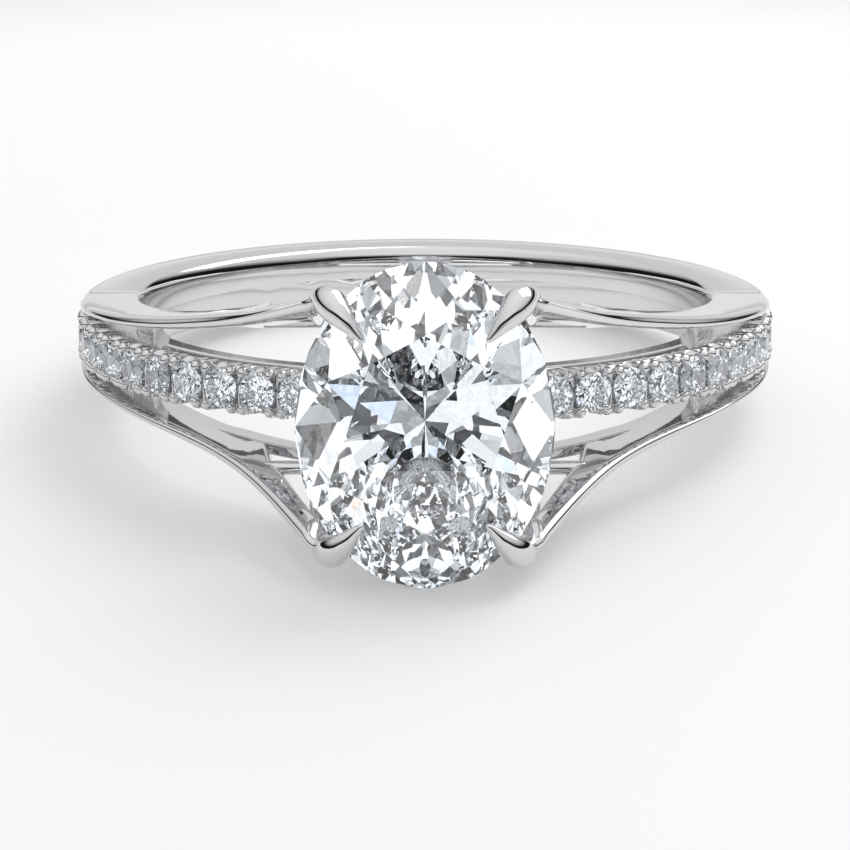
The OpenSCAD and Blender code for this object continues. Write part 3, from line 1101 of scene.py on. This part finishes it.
@dataclass
class OvalBrilliant(SubAssembly):
    """The centre stone, cut facet by facet from an oval drum.

    Heights and angles are those of a round stone, whose radius is 1, before it is stretched to its oval.
    """

    half_width: float = 3.49
    half_length: float = 4.49
    crown: float = 0.3
    pavilion: float = 0.9
    girdle: float = 0.036
    table: float = 0.6
    star: float = 0.8
    drum_sides: int = 96
    drum_height: float = 3.0
    merge: float = 1e-5
    mains: int = 8
    main_step: float = 45.0
    half_step: float = 22.5
    half_reach: float = 0.3
    breaks: tuple[Breaks, ...] = (
        Breaks(tuple(22.5 * k + 11.25 for k in range(16)), (0.0,), 0.3, 4.0),
        Breaks((90.0, 270.0), (-38.0, -24.0, -8.0, 8.0, 24.0, 38.0), 0.52, 2.2),
        Breaks((0.0, 180.0), (-32.0, -11.0, 11.0, 32.0), 0.6, 1.6, 0.008))

    @staticmethod
    def at(angle: float, r: float, z: float) -> Vector:
        """A point of the round stone, at an angle from its width, in degrees."""
        a = math.radians(angle)
        return Vector((r * math.cos(a), r * math.sin(a), z))

    @staticmethod
    def plane(a: Vector, b: Vector, c: Vector) -> tuple[Vector, Vector]:
        """A facet through three points, as one of them and the direction away from the stone's middle."""
        normal = (b - a).cross(c - a).normalized()
        return a, normal if normal.dot(a) > 0 else -normal

    def crown_planes(self) -> list[tuple[Vector, Vector]]:
        """The table, 8 stars, 8 kites and 16 upper facets."""
        at, half, turn = self.at, self.girdle / 2, self.half_step
        high = half + self.crown
        slope = self.crown / (1 - self.table)
        star_z = half + slope * (1 - self.star * math.cos(math.radians(turn)))
        made = [(Vector((0, 0, high)), Vector((0, 0, 1)))]
        for k in range(self.mains):
            a = self.main_step * k
            tip, near = at(a + turn, self.star, star_z), at(a, 1, half)
            made.append(self.plane(at(a, self.table, high), at(a + self.main_step, self.table, high), tip))
            made.append((near, at(a, slope, 1).normalized()))
            made.append(self.plane(tip, near, at(a + turn, 1, half)))
            made.append(self.plane(tip, at(a + turn, 1, half), at(a + self.main_step, 1, half)))
        return made

    def pavilion_planes(self) -> list[tuple[Vector, Vector]]:
        """8 mains, 16 lower facets, 16 break facets near the girdle, and more of them at ends and sides."""
        at, half = self.at, self.girdle / 2
        foot_z = -half - self.pavilion * (1 - self.half_reach * math.cos(math.radians(self.half_step)))
        made = []
        for k in range(self.mains):
            a = self.main_step * k + self.half_step
            near = at(a, 1, -half)
            made.append((near, at(a, self.pavilion, -1).normalized()))
            for turn in (self.half_step, -self.half_step):
                made.append(self.plane(near, at(a + turn, 1, -half), at(a + turn, self.half_reach, foot_z)))
        for kind in self.breaks:
            for middle in kind.middles:
                made += [self.break_plane(middle + turn, kind) for turn in kind.turns]
        return made

    def break_plane(self, angle: float, kind: Breaks) -> tuple[Vector, Vector]:
        """Lays one of the facets that break the pavilion.

        Args:
            angle: Its angle from the stone's width.
            kind: The set that it belongs to.

        Returns:
            A point of it, and its direction.
        """
        rise = math.atan(self.pavilion) + math.radians(kind.lean)
        place = self.at(angle, 1 - kind.depth + kind.off, -self.girdle / 2 - kind.depth * self.pavilion)
        return place, self.at(angle, math.sin(rise), -math.cos(rise))

    def build(self) -> None:
        """Cuts the drum by the plane of each facet."""
        bm = turned(1, 1, self.drum_height, self.drum_sides)
        for place, normal in self.crown_planes() + self.pavilion_planes():
            geom = [*bm.verts, *bm.edges, *bm.faces]
            cut = bmesh.ops.bisect_plane(bm, geom=geom, dist=self.merge, plane_co=place, plane_no=normal,
                                         clear_outer=True)
            rim = [item for item in cut["geom_cut"] if isinstance(item, bmesh.types.BMEdge)]
            bmesh.ops.edgeloop_fill(bm, edges=rim)
        bmesh.ops.dissolve_degenerate(bm, dist=self.merge, edges=bm.edges)
        bmesh.ops.scale(bm, vec=(self.half_width, self.half_length, self.half_width), verts=bm.verts)
        bmesh.ops.rotate(bm, cent=(0, 0, 0), matrix=Matrix.Rotation(QUARTER, 3, "X"), verts=bm.verts)
        bmesh.ops.translate(bm, vec=(0, -self.gauge.head_r, 0), verts=bm.verts)
        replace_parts(self.lay("centre_stone_cut", bm, Shading.FACETS, Slot.STONE), "centre_stone")


@dataclass(frozen=True)
class SoftBox:
    """A rectangular soft light that looks at the ring."""

    name: str
    place: tuple[float, float, float]
    size: tuple[float, float]
    power: float

    def build(self) -> None:
        """Hangs the light."""
        data = bpy.data.lights.new(self.name, "AREA")
        data.shape = "RECTANGLE"
        data.size, data.size_y = self.size
        data.energy = self.power
        obj = bpy.data.objects.new(self.name, data)
        obj.location = self.place
        obj.rotation_mode = "QUATERNION"
        obj.rotation_quaternion = (-Vector(self.place)).to_track_quat("-Z", "Y")
        bpy.context.scene.collection.objects.link(obj)


@dataclass(frozen=True)
class Board:
    """A flat board on the ground: the floor, or a card that only the metal and the stones' faces mirror."""

    name: str
    finish: PaleFloor
    size: tuple[float, float] = (1.0, 1.0)
    middle: tuple[float, float] = (0.0, 0.0)
    lift: float = 0.0
    mirrored_only: bool = False

    def build(self) -> None:
        """Lays the board. What a stone gathers is the surround's alone."""
        bm = bmesh.new()
        bmesh.ops.create_grid(bm, x_segments=1, y_segments=1, size=0.5)
        bmesh.ops.scale(bm, vec=(*self.size, 1), verts=bm.verts)
        bmesh.ops.translate(bm, vec=(*self.middle, self.lift), verts=bm.verts)
        mesh = mesh_of(bm, self.name)
        mesh.materials.append(self.finish.material())
        obj = bpy.data.objects.new(self.name, mesh)
        obj.visible_transmission = False
        if self.mirrored_only:
            obj.visible_camera = obj.visible_diffuse = obj.visible_shadow = False
        bpy.context.scene.collection.objects.link(obj)


@dataclass
class Studio:
    """Floor, surround and lights."""

    boards: tuple[Board, ...] = (
        Board("studio_floor", PaleFloor()),
        Board("dark_card", PaleFloor("dark_card", (0.06, 0.06, 0.06), painted_glow=0.0), size=(0.05, 0.3),
              middle=(0.0, -0.202), lift=0.0002, mirrored_only=True),
        # the grey card has a small painted glow, and only the metal and the stones mirror it
        Board("grey_card", PaleFloor("grey_card", (0.5, 0.5, 0.5), painted_glow=0.22), size=(0.6, 0.4),
              middle=(0.0, 0.217), lift=0.0002, mirrored_only=True))
    bounces: int = 20
    dome_foot: float = -0.2
    domes: tuple[tuple[tuple[float, float], ...], ...] = (
        ((-0.2, 0.93), (0.0, 0.93), (0.07, 0.73), (0.2, 0.73), (0.5, 0.95), (1.0, 1.05)),
        ((-0.2, 0.84), (0.0, 0.84), (0.01, 1.3), (0.03, 1.3), (0.035, 0.01), (0.21, 0.01), (0.42, 0.75),
         (1.0, 1.05)),
        ((-0.2, 0.84), (0.0, 0.84), (0.01, 1.3), (0.05, 1.3), (0.06, 0.01), (0.32, 0.01), (0.45, 0.95),
         (1.0, 1.05)))
    turns: tuple[tuple[float, float], ...] = ((0.95, 0.86), (-0.5, -0.8))
    cell_scale: float = 7.0
    cells: tuple[tuple[float, tuple[float, float, float]], ...] = (
        (0.0, (0.004, 0.005, 0.006)), (0.26, (0.08, 0.095, 0.1)), (0.33, (0.36, 0.39, 0.41)),
        (0.42, (0.92, 0.96, 1.0)), (0.975, (0.72, 0.84, 1.0)), (0.994, (1.0, 0.82, 0.64)))
    cell_strength: float = 1.35
    observer: tuple[float, float, float] = (0.0, -0.93, 0.36)
    observer_edge: tuple[float, float] = (0.95, 0.965)
    observer_part: float = 0.06
    boxes: tuple[SoftBox, ...] = (
        SoftBox("key", (0.12, 0.12, 0.2), size=(0.2, 0.2), power=0.36),
    )

    def dome(self, nodes: Nodes, direction: bpy.types.NodeSocket) -> bpy.types.NodeSocket:
        """What the metal mirrors: a white dome, with dark strips low down at the sides and in front.

        Args:
            nodes: The world's nodes.
            direction: The direction that a ray leaves in.

        Returns:
            The shader of the dome.
        """
        split, foot = nodes.add("ShaderNodeSeparateXYZ", direction), self.dome_foot
        height = nodes.add("ShaderNodeMapRange", split.outputs["Z"], foot).outputs["Result"]
        tones = [nodes.ramp(height, [((z - foot) / (1 - foot), (grey, grey, grey)) for z, grey in stops])
                 for stops in self.domes]
        tone = tones[0]
        for (start, stop), ahead in zip(self.turns, tones[1:]):
            turn = nodes.add("ShaderNodeMapRange", split.outputs["Y"], start, stop,
                             interpolation_type="SMOOTHSTEP")
            # sockets 6 and 7 are this node's two colours, and output 2 is the mixed one
            blend = nodes.add("ShaderNodeMix", turn.outputs["Result"], data_type="RGBA")
            nodes.feed(blend.inputs[6], tone)
            nodes.feed(blend.inputs[7], ahead)
            tone = blend.outputs[2]
        return nodes.add("ShaderNodeBackground", tone).outputs["Background"]

    def sparkle(self, nodes: Nodes, direction: bpy.types.NodeSocket) -> bpy.types.NodeSocket:
        """What the stones gather: small bright and dark patches of the room, and the dark camera.

        Args:
            nodes: The world's nodes.
            direction: The direction that a ray leaves in.

        Returns:
            The shader of the patches.
        """
        cells = nodes.add("ShaderNodeTexVoronoi", Scale=self.cell_scale, Vector=direction)
        pick = nodes.add("ShaderNodeSeparateXYZ", cells.outputs["Color"])
        tone = nodes.ramp(pick.outputs["X"], self.cells, stepped=True)
        facing = nodes.add("ShaderNodeVectorMath", direction, self.observer, operation="DOT_PRODUCT")
        dark = nodes.add("ShaderNodeMapRange", Value=facing.outputs["Value"], From_Min=self.observer_edge[0],
                         From_Max=self.observer_edge[1], To_Min=1.0, To_Max=self.observer_part)
        power = nodes.add("ShaderNodeMath", dark.outputs["Result"], self.cell_strength, operation="MULTIPLY")
        return nodes.add("ShaderNodeBackground", tone, power.outputs["Value"]).outputs["Background"]

    def surround(self) -> None:
        """The world: the dome, which gives the metal its thin black accents, and patches for the stones."""
        nodes = Nodes(bpy.data.worlds.new("studio"))
        direction = nodes.add("ShaderNodeTexCoord").outputs["Generated"]
        depth = nodes.add("ShaderNodeLightPath").outputs["Transmission Depth"]
        through = nodes.add("ShaderNodeMath", depth, 0.5, operation="GREATER_THAN")
        both = nodes.add("ShaderNodeMixShader", through.outputs["Value"], self.dome(nodes, direction),
                         self.sparkle(nodes, direction))
        bpy.context.scene.world = nodes.ends_in("ShaderNodeOutputWorld", both.outputs["Shader"])

    def build(self) -> None:
        """Sets up the whole studio."""
        scene = bpy.context.scene
        scene.view_settings.view_transform = "Standard"
        scene.cycles.max_bounces = self.bounces
        scene.cycles.glossy_bounces = self.bounces
        scene.cycles.transmission_bounces = self.bounces
        for prop in (*self.boards, *self.boxes):
            prop.build()
        self.surround()


@dataclass
class Viewpoint:
    """The camera, where the photographer's was, given in the ring frame."""

    rest: RestPose
    aim: tuple[float, float, float] = (0.0, -13.34, 0.0)
    distance: float = 100.0
    above: float = 12.7
    lens: float = 157.47
    sensor: float = 36.0
    clip: tuple[float, float] = (0.005, 10.0)

    def build(self) -> None:
        """Places the camera."""
        down = math.radians(self.above)
        view = Vector((0, math.cos(down), -math.sin(down)))
        up = Vector((0, math.sin(down), math.cos(down)))
        right = view.cross(up)
        data = bpy.data.cameras.new("viewpoint")
        data.lens, data.sensor_width = self.lens, self.sensor
        data.clip_start, data.clip_end = self.clip
        obj = bpy.data.objects.new("viewpoint", data)
        place = self.rest.matrix()
        turn = place.to_quaternion().to_matrix() @ Matrix((right, up, -view)).transposed()
        eye = place @ (Vector(self.aim) - view * self.distance)
        obj.matrix_world = Matrix.Translation(eye) @ turn.to_4x4()
        bpy.context.scene.collection.objects.link(obj)
        bpy.context.scene.camera = obj


@dataclass
class SplitShankRing:
    """The whole ring."""

    gauge: Gauge
    bench: Bench
    metal: PolishedWhiteMetal = PolishedWhiteMetal()
    cast: PolishedWhiteMetal = PolishedWhiteMetal("cast_white_metal", (0.56, 0.56, 0.565), 0.08, 0.25, 8000.0,
                                                  swirl_depth=1.0)
    stone: CutStone = CutStone()

    def build_metal(self) -> None:
        """Builds every piece of the soldered metal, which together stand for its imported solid."""
        polished = (self.gauge, self.bench, self.metal.material())
        recessed = (self.gauge, self.bench, self.cast.material())
        for level in Level:
            Strand(*polished, level).build()
            Rail(*polished, level).build()
            for side in Side:
                Claw(*polished, side, level).build()
        for side in Side:
            Web(*recessed, side).build()
            StoneRow(*polished, side).build()
        HeadBridge(*polished).build()
        for piece in self.bench.made:
            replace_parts(piece, "ring_metal")

    def dress_stones(self, nodes: dict[str, bpy.types.Object]) -> None:
        """Cuts the centre stone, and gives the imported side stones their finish.

        Args:
            nodes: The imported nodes, by name.
        """
        finish = self.stone.material()
        OvalBrilliant(self.gauge, self.bench, finish).build()
        for name, node in nodes.items():
            if name.startswith("side_stone"):
                node.data.materials.clear()
                node.data.materials.append(finish)
                log.info("%s: dressed", name)


def main() -> None:
    """Builds the ring piece by piece, then the studio and the camera."""
    logging.basicConfig(level=logging.INFO, format="%(name)s: %(message)s")
    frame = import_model()
    rest = RestPose()
    ring = SplitShankRing(Gauge(), Bench(rest))
    ring.build_metal()
    ring.dress_stones(frame["nodes"])
    Studio().build()
    Viewpoint(rest).build()


if __name__ == "__main__":
    main()
